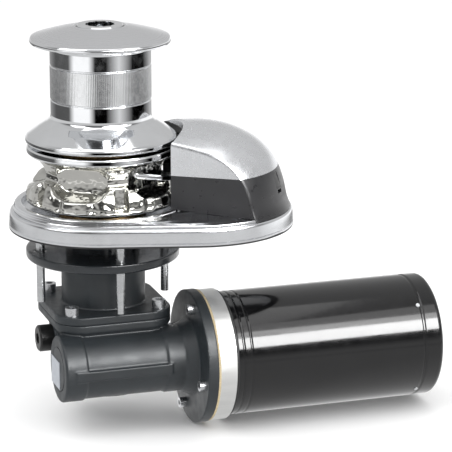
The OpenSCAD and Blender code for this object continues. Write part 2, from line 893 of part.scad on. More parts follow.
module front_bell() {
    color([0.8, 0.8, 0.81]) difference() {
        union() {
            on_worm_axis(bell_x) cylinder(r = bell_r, h = 8);
            on_worm_axis(bell_x) tube(bell_r, case_in_r, bead_x - bell_x);
            on_worm_axis(bell_x) cylinder(r = 24, h = 14);
            flange_screw_places(bell_x) cylinder(r = 5, h = 13);
        }
        on_worm_axis(bell_x - 1) cylinder(r = 17.5, h = 30);
        flange_screw_places(bell_x - 1) cylinder(r = 3, h = 13);
    }
}

module case_bead() {
    color(rubber_black) on_worm_axis(bead_x) difference() {
        union() {
            cylinder(r1 = 61, r2 = 62, h = 1);
            translate([0, 0, 1]) cylinder(r = 62, h = case_x - bead_x - 2);
            translate([0, 0, case_x - bead_x - 1]) cylinder(r1 = 62, r2 = 61, h = 1);
        }
        translate([0, 0, -1]) cylinder(r = case_in_r, h = 10);
    }
}

module motor_case() {
    color(gloss_black) on_worm_axis(case_x) difference() {
        tube(case_r, case_in_r, cap_x - case_x);
        for (x = [5, 190]) translate([0, 0, x]) tube(case_r + 5, case_r - 0.8, 1.2);
        for (x = terminal_x) translate([0, 0, x - case_x]) rotate([-90, 0, 0])
            cylinder(r = 6, h = 80);
    }
}

module end_cap() {
    len = motor_end_x - cap_x;
    color(gloss_black) difference() {
        on_worm_axis(cap_x) rotate_extrude() polygon(concat(
            [[0, 0], [case_r, 0], [case_r, len - 5]],
            [for (a = [15 : 15 : 90]) [case_r - 5 + 5 * cos(a), len - 5 + 5 * sin(a)]],
            [[0, len]]));
        on_worm_axis(cap_x - 1) cylinder(r = 50, h = 9);
        on_worm_axis(cap_x - 1) cylinder(r = 17.5, h = 12);
    }
}

module case_screws() {
    color(steel) for (a = [45 : 90 : 315])
        on_worm_axis(cap_x - 5.2) rotate(a) translate([case_r, 0, 0]) rotate([0, 90, 0])
            cylinder(r = 2, h = 0.8);
}

module field_magnets() {
    color([0.25, 0.25, 0.26]) on_worm_axis(125) difference() {
        tube(case_in_r, 49, 110);
        for (a = [45, 135]) rotate(a) translate([-80, -8, -1]) cube([160, 16, 120]);
    }
}

module armature_core() {
    slots = 18;
    color([0.45, 0.45, 0.46]) on_worm_axis(rotor_x[0]) difference() {
        cylinder(r = rotor_r, h = rotor_x[1] - rotor_x[0]);
        translate([0, 0, -1]) cylinder(r = motor_shaft_r, h = 100);
        for (i = [0 : slots - 1]) rotate(360 * i / slots)
            translate([30, -2.5, -1]) cube([30, 5, 100]);
    }
}

module armature_windings() {
    h = 11;
    coil = [[16, 0], [42, 0], [44, 3], [42, h - 2], [38, h], [20, h], [16, h - 3]];
    color(copper) {
        on_worm_axis(rotor_x[1]) rotate_extrude() polygon(coil);
        on_worm_axis(rotor_x[0]) mirror([0, 0, 1]) rotate_extrude() polygon(coil);
        on_worm_axis(rotor_x[0]) for (i = [0 : 17]) rotate(20 * i)
            translate([31, -2.2, -1]) cube([10, 4.4, rotor_x[1] - rotor_x[0] + 2]);
    }
}

module commutator() {
    bars = 18;
    color(copper) on_worm_axis(comm_x[0]) difference() {
        cylinder(r = comm_r, h = comm_x[1] - comm_x[0]);
        translate([0, 0, -1]) cylinder(r = motor_shaft_r, h = 60);
        for (i = [0 : bars - 1]) rotate(360 * i / bars)
            translate([comm_r - 1.5, -0.4, -1]) cube([5, 0.8, 60]);
    }
}

module motor_shaft() {
    color(steel) on_worm_axis(74) cylinder(r = motor_shaft_r, h = 232);
}

module motor_bearings() {
    color(steel) {
        on_worm_axis(87) bearing(17.5, motor_shaft_r + run_gap, 10);
        on_worm_axis(cap_x) bearing(17.5, motor_shaft_r + run_gap, 10);
    }
}

module brush_holder() {
    color([0.35, 0.22, 0.12]) on_worm_axis(270) difference() {
        union() {
            tube(case_in_r, 26, 5);
            for (a = [0 : 90 : 270]) rotate(a) translate([25, -9, -20])
                cube([24, 18, 20.5]);
        }
        for (a = [0 : 90 : 270]) rotate(a) translate([24, -6, -17]) cube([24, 12, 14]);
    }
}

module carbon_brushes() {
    color(gloss_black) on_worm_axis(253) for (a = [0 : 90 : 270]) rotate(a)
        intersection() {
            translate([comm_r - 2, -5.9, 0.1]) cube([20, 11.8, 12.8]);
            tube(80, comm_r + 0.1, 20);
        }
}

module on_terminal(x) {
    translate([x, worm_y + case_in_r, worm_z]) rotate([-90, 0, 0]) children();
}

module terminal_insulators() {
    color(rubber_black) for (x = terminal_x) on_terminal(x) difference() {
        union() {
            translate([0, 0, -2]) cylinder(r = 5.8, h = 10);
            translate([0, 0, case_r - case_in_r]) cylinder(r = 9, h = 4);
        }
        translate([0, 0, -3]) cylinder(r = post_shank_r, h = 20);
    }
}

module terminal_posts() {
    color(steel) for (x = terminal_x) on_terminal(x) {
        translate([0, 0, -2]) cylinder(r = post_shank_r, h = post_shank_end + 2);
        translate([0, 0, post_shank_end]) cylinder(r = 4, h = 28 - post_shank_end);
    }
}

module terminal_nuts() {
    color(steel) for (x = terminal_x) on_terminal(x) translate([0, 0, 8]) difference() {
        cylinder(r = 7.5, h = 6, $fn = 6);
        translate([0, 0, -1]) cylinder(r = post_shank_r, h = 10, $fn = 48);
    }
}

base_plate();
base_gasket();
shaft_seal();
upper_bearing();
deck_studs();
chain_stripper();
stripper_screws();
lever_pin();
lever_spring();
pressure_lever();
cover_lid();
cover_shell();
cover_latch();
main_shaft();
shaft_keys();
lower_cone();
gypsy();
upper_cone();
drum();
thrust_washer();
clutch_nut();
shaft_end_washer();
shaft_end_screw();
deck_tube();
deck_flange();
neck_bearing();
neck_seal();
plate_screws();
gearbox_housing();
housing_oring();
oil_plug();
worm_end_cap();
label_plate();
worm_wheel();
wheel_circlip();
lower_bearing();
worm_shaft();
worm_bearings();
worm_seal();
motor_coupling();
flange_screws();
motor_gasket();
front_bell();
case_bead();
motor_case();
end_cap();
case_screws();
field_magnets();
armature_core();
armature_windings();
commutator();
motor_shaft();
motor_bearings();
brush_holder();
carbon_brushes();
terminal_insulators();
terminal_posts();
terminal_nuts();
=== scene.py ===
import json
import math

import bmesh
import bpy
import numpy as np
from mathutils import Matrix, Vector


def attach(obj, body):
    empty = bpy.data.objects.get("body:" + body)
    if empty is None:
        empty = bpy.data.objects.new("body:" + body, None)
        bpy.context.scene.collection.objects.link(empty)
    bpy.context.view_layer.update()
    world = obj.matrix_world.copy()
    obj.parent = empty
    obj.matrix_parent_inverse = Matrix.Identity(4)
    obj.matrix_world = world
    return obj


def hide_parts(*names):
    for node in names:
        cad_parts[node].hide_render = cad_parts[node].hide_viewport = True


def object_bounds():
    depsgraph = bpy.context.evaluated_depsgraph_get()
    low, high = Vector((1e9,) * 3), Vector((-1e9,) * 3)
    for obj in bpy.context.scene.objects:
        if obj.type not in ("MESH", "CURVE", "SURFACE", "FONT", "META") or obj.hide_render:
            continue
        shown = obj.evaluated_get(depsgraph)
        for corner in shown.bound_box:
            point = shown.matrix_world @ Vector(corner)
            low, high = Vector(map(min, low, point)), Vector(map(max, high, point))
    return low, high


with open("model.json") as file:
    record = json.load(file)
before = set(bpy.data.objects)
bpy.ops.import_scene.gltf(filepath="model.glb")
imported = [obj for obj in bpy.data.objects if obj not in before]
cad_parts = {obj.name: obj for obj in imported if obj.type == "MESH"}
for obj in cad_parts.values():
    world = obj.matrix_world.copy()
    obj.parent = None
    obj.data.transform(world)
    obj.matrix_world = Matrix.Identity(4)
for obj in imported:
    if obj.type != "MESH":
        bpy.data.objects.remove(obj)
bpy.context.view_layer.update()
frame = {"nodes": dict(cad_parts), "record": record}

MM = 0.001
RAD = math.radians
WELD, SLIVER = 2e-6, 1e-6   # metres: points closer than these are one
EDGE_ANGLE = 32             # degrees: sharper edges than this stay sharp

# An anchor windlass. Lengths are in millimetres in the shapes, and in metres in the studio.


# ---------- materials ----------

class Graph:
    """A small helper for building one Principled material."""

    def __init__(self, name):
        self.mat = bpy.data.materials.new(name)
        self.mat.use_nodes = True
        self.tree = self.mat.node_tree
        self.bsdf = self.tree.nodes["Principled BSDF"]
        self.coord = self.add("ShaderNodeTexCoord").outputs["Object"]

    def add(self, kind, **values):
        n = self.tree.nodes.new(kind)
        for k, v in values.items():
            setattr(n, k, v)
        return n

    def link(self, a, b):
        self.tree.links.new(a, b)

    def noise(self, scale, detail, stretch):
        m = self.add("ShaderNodeMapping")
        m.inputs["Scale"].default_value = stretch
        self.link(self.coord, m.inputs["Vector"])
        n = self.add("ShaderNodeTexNoise")
        n.inputs["Scale"].default_value = scale
        n.inputs["Detail"].default_value = detail
        self.link(m.outputs["Vector"], n.inputs["Vector"])
        return n.outputs["Fac"]

    def spread(self, source, lo, hi):
        r = self.add("ShaderNodeMapRange")
        for k, v in (("From Min", 0.3), ("From Max", 0.7), ("To Min", lo), ("To Max", hi)):
            r.inputs[k].default_value = v
        self.link(source, r.inputs["Value"])
        return r.outputs["Result"]

    def colours(self, source, low, high):
        r = self.add("ShaderNodeValToRGB")
        r.color_ramp.elements[0].position, r.color_ramp.elements[1].position = 0.35, 0.65
        r.color_ramp.elements[0].color = (*low, 1)
        r.color_ramp.elements[1].color = (*high, 1)
        self.link(source, r.inputs["Fac"])
        self.link(r.outputs["Color"], self.bsdf.inputs["Base Color"])

    def rough(self, source):
        self.link(source, self.bsdf.inputs["Roughness"])

    def bump(self, source, distance, strength=1.0):
        b = self.add("ShaderNodeBump")
        b.inputs["Distance"].default_value = distance
        b.inputs["Strength"].default_value = strength
        self.link(source, b.inputs["Height"])
        self.link(b.outputs["Normal"], self.bsdf.inputs["Normal"])

    def set(self, **values):
        for k, v in values.items():
            self.bsdf.inputs[k.replace("_", " ")].default_value = v


def tint(c, k):
    return tuple(min(1.0, x * k) for x in c)


def surface(name, colour, metallic, rough, vary, blotch, grain=0.0, grain_scale=2500,
            stretch=(1, 1, 1), **more):
    """Material with blotches in colour and roughness and a fine grain in relief."""
    g = Graph(name)
    g.set(Metallic=metallic, **more)
    big = g.noise(blotch, 4.0, stretch)
    g.colours(big, tint(colour, 1 - vary), tint(colour, 1 + vary))
    g.rough(g.spread(g.noise(blotch * 3.1, 5.0, stretch), rough[0], rough[1]))
    if grain:
        g.bump(g.noise(grain_scale, 2.0, stretch), grain)
    return g.mat


def turned(name, colour, rough, lines=2600, depth=0.00002):
    """Metal with fine rings about the Z axis, as a lathe leaves them."""
    g = Graph(name)
    g.set(Metallic=1.0)
    sep = g.add("ShaderNodeSeparateXYZ")
    g.link(g.coord, sep.inputs[0])
    flat = g.add("ShaderNodeCombineXYZ")
    g.link(sep.outputs["X"], flat.inputs["X"])
    g.link(sep.outputs["Y"], flat.inputs["Y"])
    length = g.add("ShaderNodeVectorMath", operation="LENGTH")
    g.link(flat.outputs[0], length.inputs[0])
    ring = g.add("ShaderNodeTexNoise", noise_dimensions="1D")
    ring.inputs["Scale"].default_value = lines
    ring.inputs["Detail"].default_value = 2.0
    g.link(length.outputs["Value"], ring.inputs["W"])
    g.colours(ring.outputs["Fac"], tint(colour, 0.93), tint(colour, 1.04))
    g.rough(g.spread(ring.outputs["Fac"], rough[0], rough[1]))
    g.bump(ring.outputs["Fac"], depth, 0.5)
    return g.mat


CHROME = surface("polished_chrome", (0.80, 0.81, 0.825), 1.0, (0.035, 0.09), 0.02, 45)
SATIN = surface("satin_chrome", (0.77, 0.78, 0.80), 1.0, (0.13, 0.20), 0.02, 45)
LID = surface("satin_lid", (0.77, 0.78, 0.80), 1.0, (0.24, 0.31), 0.02, 45)
# darker chrome for the gypsy: its cast finish with an olive tone, and partly painted shade that dims the
# whole part
CAST_CHROME_AND_SHADE = surface("cast_chrome_and_painted_shade", (0.58, 0.575, 0.545), 1.0, (0.04, 0.10), 0.03, 70, 0.0022, 62)
DISC = turned("turned_disc", (0.70, 0.705, 0.72), (0.24, 0.36))
KNURL = surface("knurled_chrome", (0.84, 0.85, 0.86), 1.0, (0.17, 0.24), 0.03, 90)
STEEL = surface("machined_steel", (0.62, 0.63, 0.645), 1.0, (0.20, 0.36), 0.05, 240, 0.000004, 3000,
                (1, 1, 6))
STUD = surface("stud_steel", (0.60, 0.61, 0.62), 1.0, (0.18, 0.30), 0.06, 160, 0.000008, 800, (0.15, 0.15, 1))
BRONZE = surface("bronze", (0.55, 0.36, 0.17), 1.0, (0.22, 0.38), 0.08, 180, 0.00002)
COAT = surface("powder_coat", (0.019, 0.024, 0.028), 0.0, (0.36, 0.48), 0.10, 35, 0.00010, 1100,
               Specular_IOR_Level=0.5)
COAT_SMOOTH = surface("gloss_coat", (0.016, 0.019, 0.022), 0.0, (0.14, 0.24), 0.10, 35, 0.00004, 700,
                      Coat_Weight=0.3, Coat_Roughness=0.12)
BLACK = surface("gloss_black_paint", (0.003, 0.003, 0.0035), 0.0, (0.10, 0.17), 0.2, 30, 0.00002, 240,
                Specular_IOR_Level=0.5, Coat_Weight=0.3, Coat_Roughness=0.06)
ALUMINIUM = surface("cast_aluminium", (0.72, 0.72, 0.71), 1.0, (0.36, 0.50), 0.04, 120, 0.00004, 900,
                    (0.2, 1, 1))
RUBBER = surface("black_rubber", (0.012, 0.012, 0.013), 0.0, (0.45, 0.65), 0.2, 200, 0.00005, 1800)
PLASTIC = surface("grey_plastic", (0.022, 0.022, 0.024), 0.0, (0.26, 0.36), 0.12, 50, 0.00001, 1500)
PLUG = surface("black_plastic", (0.008, 0.008, 0.008), 0.0, (0.28, 0.40), 0.2, 90, 0.00005, 1500)
PHENOLIC = surface("phenolic", (0.16, 0.075, 0.032), 0.0, (0.45, 0.6), 0.15, 160, 0.00005)
FOIL = surface("label_foil", (0.52, 0.55, 0.60), 0.6, (0.28, 0.40), 0.05, 150, 0.00001)
FIBRE = surface("gasket_fibre", (0.56, 0.45, 0.27), 0.0, (0.7, 0.85), 0.12, 500, 0.00006, 1600)
COPPER = surface("copper", (0.70, 0.32, 0.16), 1.0, (0.22, 0.36), 0.10, 220, 0.00004, 900, (1, 0.3, 0.3))
IRON = surface("dark_iron", (0.10, 0.10, 0.105), 0.7, (0.45, 0.6), 0.12, 180, 0.00006, 1200)
CARBON = surface("carbon", (0.02, 0.02, 0.021), 0.0, (0.4, 0.55), 0.2, 300, 0.00004)

SLOT_MATERIAL = {
    "polished_chrome": CHROME, "machined_steel": STEEL, "bronze": BRONZE, "powder_coat": COAT,
    "gloss_black_paint": BLACK, "cast_aluminium": ALUMINIUM, "black_rubber": RUBBER,
    "grey_plastic": PLASTIC, "black_plastic": PLUG, "phenolic": PHENOLIC, "label_foil": FOIL,
    "gasket_fibre": FIBRE, "copper": COPPER, "dark_iron": IRON, "carbon": CARBON,
}
NODE_MATERIAL = {"deck_studs": STUD, "deck_tube": COAT_SMOOTH, "clutch_nut": CHROME, "cover_latch": PLUG}
SLOT_OF = {s["node"]: s["material_slot"] for s in frame["record"]["subparts"]}


# ---------- shapes ----------

def smooth(me, angle=EDGE_ANGLE):
    me.shade_smooth()
    me.set_sharp_from_angle(angle=RAD(angle))


def linked(name, data):
    o = bpy.data.objects.new(name, data)
    bpy.context.scene.collection.objects.link(o)
    return o


def piece(name, verts, faces, material, body, node=None, angle=EDGE_ANGLE):
    """Object from points in millimetres, welded and oriented, with its material and its body."""
    me = bpy.data.meshes.new(name)
    me.from_pydata([tuple(float(c) * MM for c in v) for v in verts], [], faces)
    bm = bmesh.new()
    bm.from_mesh(me)
    bmesh.ops.remove_doubles(bm, verts=bm.verts, dist=WELD)
    bmesh.ops.dissolve_degenerate(bm, edges=bm.edges, dist=SLIVER)
    bmesh.ops.recalc_face_normals(bm, faces=bm.faces)
    bm.to_mesh(me)
    bm.free()
    o = linked(name, me)
    for m in material if isinstance(material, list) else [material]:
        me.materials.append(m)
    smooth(me, angle)
    if body:
        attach(o, body)
    if node:
        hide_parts(node)
    return o


def boolean(o, tool, operation):
    m = o.modifiers.new("cut", "BOOLEAN")
    m.operation, m.object, m.solver = operation, tool, "EXACT"
    return applied(o, tool)


def applied(o, *tools):
    """Bakes the modifiers of o into its mesh and removes the tools."""
    dg = bpy.context.evaluated_depsgraph_get()
    me = bpy.data.meshes.new_from_object(o.evaluated_get(dg))
    o.modifiers.clear()
    old = o.data
    o.data = me
    bpy.data.meshes.remove(old)
    for t in tools:
        bpy.data.objects.remove(t)
    return o


def rod(x, y, z0, z1, r, n=64):
    """Plain cylinder, used as a tool for booleans."""
    me = bpy.data.meshes.new("tool")
    bm = bmesh.new()
    bmesh.ops.create_cone(bm, cap_ends=True, segments=n, radius1=r * MM, radius2=r * MM,
                          depth=(z1 - z0) * MM)
    bmesh.ops.translate(bm, verts=bm.verts, vec=(x * MM, y * MM, (z0 + z1) / 2 * MM))
    bm.to_mesh(me)
    bm.free()
    return linked("tool", me)


def block(centre, turn, x, y, z):
    """Box tool: ranges along the turned X, Y and Z from a centre."""
    c, s = math.cos(RAD(turn)), math.sin(RAD(turn))
    v = [(centre[0] + a * c - b * s, centre[1] + a * s + b * c, h) for h in z for b in y for a in x]
    f = [(0, 2, 3, 1), (4, 5, 7, 6), (0, 1, 5, 4), (2, 6, 7, 3), (0, 4, 6, 2), (1, 3, 7, 5)]
    me = bpy.data.meshes.new("tool")
    me.from_pydata([tuple(q * MM for q in p) for p in v], [], f)
    return linked("tool", me)


def fillet(points, steps=5):
    """Path of (a, b, radius) corners with each corner rounded."""
    out = []
    n = len(points)
    for i, p in enumerate(points):
        r = p[2] if len(p) > 2 else 0
        if r <= 0 or i in (0, n - 1):
            out.append((p[0], p[1]))
            continue
        a = Vector((points[i - 1][0] - p[0], points[i - 1][1] - p[1]))
        b = Vector((points[i + 1][0] - p[0], points[i + 1][1] - p[1]))
        half = a.angle(b) / 2
        t = min(r / max(math.tan(half), 1e-6), a.length * 0.49, b.length * 0.49)
        r = t * math.tan(half)
        a.normalize()
        b.normalize()
        p0 = Vector(p[:2])
        centre = p0 + (a + b).normalized() * (r / math.sin(half))
        s, e = p0 + a * t - centre, p0 + b * t - centre
        turn = s.angle_signed(e)
        for k in range(steps + 1):
            q = -turn * k / steps
            out.append((centre.x + s.x * math.cos(q) - s.y * math.sin(q),
                        centre.y + s.x * math.sin(q) + s.y * math.cos(q)))
    return out


def grid_faces(rows, cols, wrap_rows=False, wrap_cols=True, flip=False):
    faces = []
    for i in range(rows if wrap_rows else rows - 1):
        for j in range(cols if wrap_cols else cols - 1):
            a, b = i * cols + j, i * cols + (j + 1) % cols
            c, d = ((i + 1) % rows) * cols + (j + 1) % cols, ((i + 1) % rows) * cols + j
            faces.append((a, b, c, d) if not flip else (d, c, b, a))
    return faces


def supported(path, long=2.5, near=0.2):
    """Adds points close to the ends of long straight runs, so that they shade flat."""
    out = []
    for (r0, z0), (r1, z1) in zip(path, path[1:] + path[:1]):
        out.append((r0, z0))
        length = math.hypot(r1 - r0, z1 - z0)
        if length > long:
            out += [(r0 + (r1 - r0) * t, z0 + (z1 - z0) * t) for t in (near / length, 1 - near / length)]
    return out


def revolve(path, n, ripple=None):
    """Closed section path (r, z) turned about Z; ripple(r, z, angle, index) may change the radius."""
    verts = []
    for r, z in path:
        for k in range(n):
            a = 2 * math.pi * k / n
            q = ripple(r, z, a, k) if ripple else r
            verts.append((q * math.cos(a), q * math.sin(a), z))
    return verts, grid_faces(len(path), n, wrap_rows=True)


# ---------- plan of base and cover ----------

BASE_TURN = RAD(-12)
AXIS = np.array([math.cos(BASE_TURN), math.sin(BASE_TURN)])
REACH, FRONT_R, END_R = 90.0, 90.0, 94.5
END = AXIS * REACH
DOME_FROM = AXIS * 60.0
GASKET_T, SHELF_Z, LIP_Z, COLLAR_Z, WELL_Z = 1.5, 17.0, 20.0, 25.0, 18.0
COLLAR_R, WELL_R = 83.5, 77.3
CROWN_INSET = 5.0           # from the outline in to the foot of the crown
TERRACE = 0.5               # height of a step on the crown
PSI = math.acos((FRONT_R - END_R) / REACH)
HOLE = (105.8, -12.3)
LEVER = (64.0, -48.0)


def outline_samples(arc=120, straight=8):
    """(direction, share of the way from front circle to end circle) around the base's outline."""
    s = []
    for k in range(arc):
        s.append((BASE_TURN - PSI + 2 * PSI * k / (arc - 1), 1.0))
    for k in range(1, straight):
        s.append((BASE_TURN + PSI, 1 - k / straight))
    for k in range(arc):
        s.append((BASE_TURN + PSI + (2 * math.pi - 2 * PSI) * k / (arc - 1), 0.0))
    for k in range(1, straight):
        s.append((BASE_TURN - PSI, k / straight))
    return s


OUTLINE = outline_samples()


def egg_ring(inset, z):
    ring = []
    for a, share in OUTLINE:
        r = FRONT_R + (END_R - FRONT_R) * share - inset
        ring.append((END[0] * share + r * math.cos(a), END[1] * share + r * math.sin(a), z))
    return ring


def round_ring(r, z):
    return [(r * math.cos(a), r * math.sin(a), z) for a, _ in OUTLINE]


def crown_ring(f, lift=0.0):
    """Ring at share f of the way up the crown, raised by lift."""
    low, high = egg_ring(CROWN_INSET, LIP_Z), round_ring(COLLAR_R, COLLAR_Z - 0.9)
    return [tuple(p + (q - p) * f + (lift if i == 2 else 0) for i, (p, q) in enumerate(zip(a, b)))
            for a, b in zip(low, high)]


def crown_height(x, y):
    """Height of the base's top under a point of the cover's wall."""
    p = np.array([x, y])
    along = np.clip(p @ AXIS, 0, REACH)
    edge = FRONT_R + (END_R - FRONT_R) * along / REACH - CROWN_INSET - np.linalg.norm(p - AXIS * along)
    ring = max(0.0, np.linalg.norm(p) - COLLAR_R)
    return LIP_Z + (COLLAR_Z - LIP_Z) * max(0.0, edge) / max(1e-6, max(0.0, edge) + ring)


# the base's section, from its underside out, over the top and back in under it
RIM = [(0.7, GASKET_T), (0.2, 1.7), (0.05, 2.2), (0.05, 3.4), (0.5, 3.7), (0.5, 4.3), (0.15, 4.6), (0.3, 6),
       (0.7, 10), (1.15, 13.8), (1.35, 15.0), (1.75, 16.0), (2.4, 16.7), (3.2, SHELF_Z), (4.3, SHELF_Z),
       (4.5, 17.2), (4.5, 19.0), (4.65, 19.6)]                            # inset, height
CROWN = [(0.0,), (0.06,), (0.20,), (0.24, TERRACE), (0.40, TERRACE), (0.44,), (0.62,), (0.66, TERRACE),
         (0.85, TERRACE), (0.9,), (1.0,)]                                 # share of the crown, lift
BORE_R, TUBE_R, TUBE_OUT_R, TUBE_END, ROOF_Z, WALL_INSET = 20.0, 26.0, 30.5, -12.0, 12.0, 9
COLLAR_TO_TUBE = [
    (83.2, 24.6), (82.5, 24.95), (81.6, COLLAR_Z), (79, COLLAR_Z), (78.2, 24.9), (77.6, 24.55),
    (WELL_R, 23.8), (WELL_R, 19.4), (76.9, 18.4), (76, WELL_Z), (60, WELL_Z), (40, WELL_Z), (20.6, WELL_Z),
    (BORE_R, 17.4), (BORE_R, 4.0), (TUBE_R, 4.0), (TUBE_R, TUBE_END), (TUBE_OUT_R, TUBE_END),
    (TUBE_OUT_R, ROOF_Z)]                                                 # radius, height
INSIDE = [(WALL_INSET, ROOF_Z), (WALL_INSET, GASKET_T)]
HOLE_R, PIPE_R, STUD_CIRCLE, STUD_BOSS_R, BOSS_TOP = 26, 30, 62, 9, 13
LEVER_BOSS_R, LEVER_BOSS_TOP = 8, 19.5
POST_TURN, POST_REACH, POST_R, POST_TOP = RAD(12), 87, 7, 52.2   # post that the cover sits on


def make_base():
    rings = ([egg_ring(*p) for p in RIM] + [crown_ring(*p) for p in CROWN]
             + [round_ring(*p) for p in COLLAR_TO_TUBE] + [egg_ring(*p) for p in INSIDE])
    verts = [p for r in rings for p in r]
    o = piece("windlass_base", verts, grid_faces(len(rings), len(OUTLINE), wrap_rows=True), SATIN, None)
    post = (POST_REACH * math.cos(POST_TURN), POST_REACH * math.sin(POST_TURN))
    studs = [(STUD_CIRCLE * math.cos(a), STUD_CIRCLE * math.sin(a)) for a in np.arange(4) * math.pi / 2]
    for tool in (rod(*HOLE, GASKET_T, BOSS_TOP, PIPE_R), rod(*LEVER, GASKET_T, LEVER_BOSS_TOP, LEVER_BOSS_R),
                 rod(*post, GASKET_T, POST_TOP, POST_R),
                 *[rod(*stud, GASKET_T, BOSS_TOP, STUD_BOSS_R) for stud in studs]):
        boolean(o, tool, "UNION")
    boolean(o, rod(*HOLE, -2, 60, HOLE_R, 96), "DIFFERENCE")
    smooth(o.data, 30)
    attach(o, "frame")
    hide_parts("base_plate")


# ---------- cover ----------

DOME_TOP = 99.0
DOME = np.array([
    [0, 0], [10, 0.4], [20, 1.5], [34, 4.8], [48, 10.7], [58, 16.7], [66, 23.2], [73, 31], [79, 41],
    [84.5, 56.5], [88.4, 74], [91.5, 82]])          # distance from the ridge, drop below the top
CUT_R, FACE_OFF, TOP_WALL_Z, JOINT_Z, WALL = 78.0, 22.4, 84.0, 58.0, 2.5
FACE_TURN = RAD(-32.3)
N1 = np.array([math.sin(FACE_TURN), -math.cos(FACE_TURN)])
N2 = 2 * (N1 @ AXIS) * AXIS - N1
HUB = AXIS * 103.0
FOOT_GAP, JOINT_GAP = 0.35, 0.25  # under the shell, and between shell and lid
PAINTED_SHADE_BELOW = DOME_TOP - 8.5      # painted shade: the wall round the drum is painted black below this, for the shade and dark reflection it has there
LATCH_TURN, LATCH_REACH = -38, (70, 100)
LATCH_WINDOW, LATCH_SLOT = ((-5.6, 5.6), (41.2, 55.8)), ((-4.5, 4.5), (36.5, 39.9))


def hermite(xs, ys, x):
    """Smooth curve through points, with slopes from their neighbours."""
    m = np.gradient(ys, xs)
    i = np.clip(np.searchsorted(xs, x) - 1, 0, len(xs) - 2)
    h = xs[i + 1] - xs[i]
    t = np.clip((x - xs[i]) / h, 0, 1)
    return ((2 * t**3 - 3 * t**2 + 1) * ys[i] + (t**3 - 2 * t**2 + t) * h * m[i]
            + (-2 * t**3 + 3 * t**2) * ys[i + 1] + (t**3 - t**2) * h * m[i + 1])


def from_ridge(p):
    """Distance in plan from the ridge between the dome's two centres."""
    along = np.clip(p @ AXIS, DOME_FROM @ AXIS, REACH)
    return np.linalg.norm(p - along[..., None] * AXIS, axis=-1)


# the dome's section by arc length, so that its steep side stays well defined
_T = np.linspace(0, 1, 400)
_ARC = np.concatenate([[0], np.cumsum(np.hypot(*np.diff(DOME, axis=0).T))])
_ARC /= _ARC[-1]
DOME_R = hermite(_ARC, DOME[:, 0], _T)
DOME_DROP = hermite(_ARC, DOME[:, 1], _T)


def dome_section(inset):
    """Radii and heights down the dome, moved in by inset."""
    return (np.maximum.accumulate(DOME_R) - inset * np.clip(DOME_R / 12, 0, 1),
            DOME_TOP - DOME_DROP - inset * np.clip(1 - DOME_R / 100, 0, 1))


def dome_z(rho, inset):
    r, z = dome_section(inset)
    return np.interp(rho, r, z)


def dome_r(z, inset):
    r, h = dome_section(inset)
    return np.interp(-z, -h, r)


def ray_to_ridge_distance(e, r):
    """How far from HUB along e the distance from the ridge grows to r."""
    lo, hi = np.zeros(len(e)), np.full(len(e), 220.0)
    for _ in range(40):
        mid = (lo + hi) / 2
        far = from_ridge(HUB + e * mid[:, None]) > r
        hi, lo = np.where(far, mid, hi), np.where(far, lo, mid)
    return hi


def wall_distance(e, inset, disc=True):
    """Distance from HUB to the nearest flat face or to the drum's cut-out."""
    d = np.full(len(e), 1e3)
    for n in (N1, N2):
        k = e @ n
        d = np.minimum(d, np.where(k > 1e-6, (FACE_OFF - inset - HUB @ n) / np.maximum(k, 1e-6), 1e3))
    if disc:
        b = e @ HUB
        q = b * b - HUB @ HUB + (CUT_R + inset) ** 2
        d = np.minimum(d, np.where((q > 0) & (b < 0), -b - np.sqrt(np.maximum(q, 0)), 1e3))
    return d


def corner(inset, n):
    """Where a flat face meets the cut-out, as a direction from HUB."""
    t = np.array([-n[1], n[0]])
    off = FACE_OFF - inset
    p = off * n + t * math.sqrt((CUT_R + inset) ** 2 - off ** 2) * (1 if t @ AXIS > 0 else -1)
    v = p - HUB
    return math.atan2(v[1], v[0])


def directions(inset, around, behind):
    """Directions from HUB: first round the dome from corner to corner, then across the cut-out."""
    a, b = corner(inset, N1), corner(inset, N2)
    b += 2 * math.pi * (b < a)
    outer = a + (b - a) * np.linspace(0, 1, around)
    inner = b + (a + 2 * math.pi - b) * np.linspace(0, 1, behind)
    return outer, inner


def run(points):
    """Length along a polyline at each of its points."""
    return np.concatenate([[0], np.cumsum(np.linalg.norm(np.diff(points, axis=0), axis=1))])


def even(points, n):
    """n points evenly along a polyline."""
    s = run(points)
    t = np.linspace(0, s[-1], n)
    return np.stack([np.interp(t, s, points[:, k]) for k in range(points.shape[1])], 1)


def soften(points, width, step=0.25):
    """Rounds the corners of a polyline within about width of each, keeping its ends."""
    s = run(points)
    n = max(8, int(s[-1] / step))
    p = even(points, n)
    w = max(1, int(width / (s[-1] / n)))
    for _ in range(2):
        head = 2 * p[0] - p[w:0:-1]
        tail = 2 * p[-1] - p[-2:-w - 2:-1]
        q = np.vstack([head, p, tail])
        c = np.cumsum(np.vstack([np.zeros(p.shape[1]), q]), axis=0)
        p = (c[2 * w + 1:] - c[:-2 * w - 1]) / (2 * w + 1)
    return p


def lid_columns(angles, inset, z_end, n, width):
    """One line of n points from HUB over the dome and down to z_end, for each direction."""
    e = np.stack([np.cos(angles), np.sin(angles)], 1)
    wall = wall_distance(e, inset)
    side = ray_to_ridge_distance(e, dome_r(np.array(JOINT_Z), inset))
    reach = np.minimum(wall, side)
    cols = []
    for k in range(len(angles)):
        d = np.linspace(0, reach[k], 240)
        z = np.maximum(dome_z(from_ridge(HUB + e[k] * d[:, None]), inset), z_end)
        line = np.stack([d, z], 1)
        if wall[k] < side[k] and z[-1] > z_end + 0.01:
            wall_z = np.linspace(z[-1], z_end, 61)[1:]
            line = np.vstack([line, np.stack([np.full(60, reach[k]), wall_z], 1)])
        line = even(soften(line, width), n)
        cols.append(np.column_stack([HUB + e[k] * line[:, :1], line[:, 1]]))
    return cols


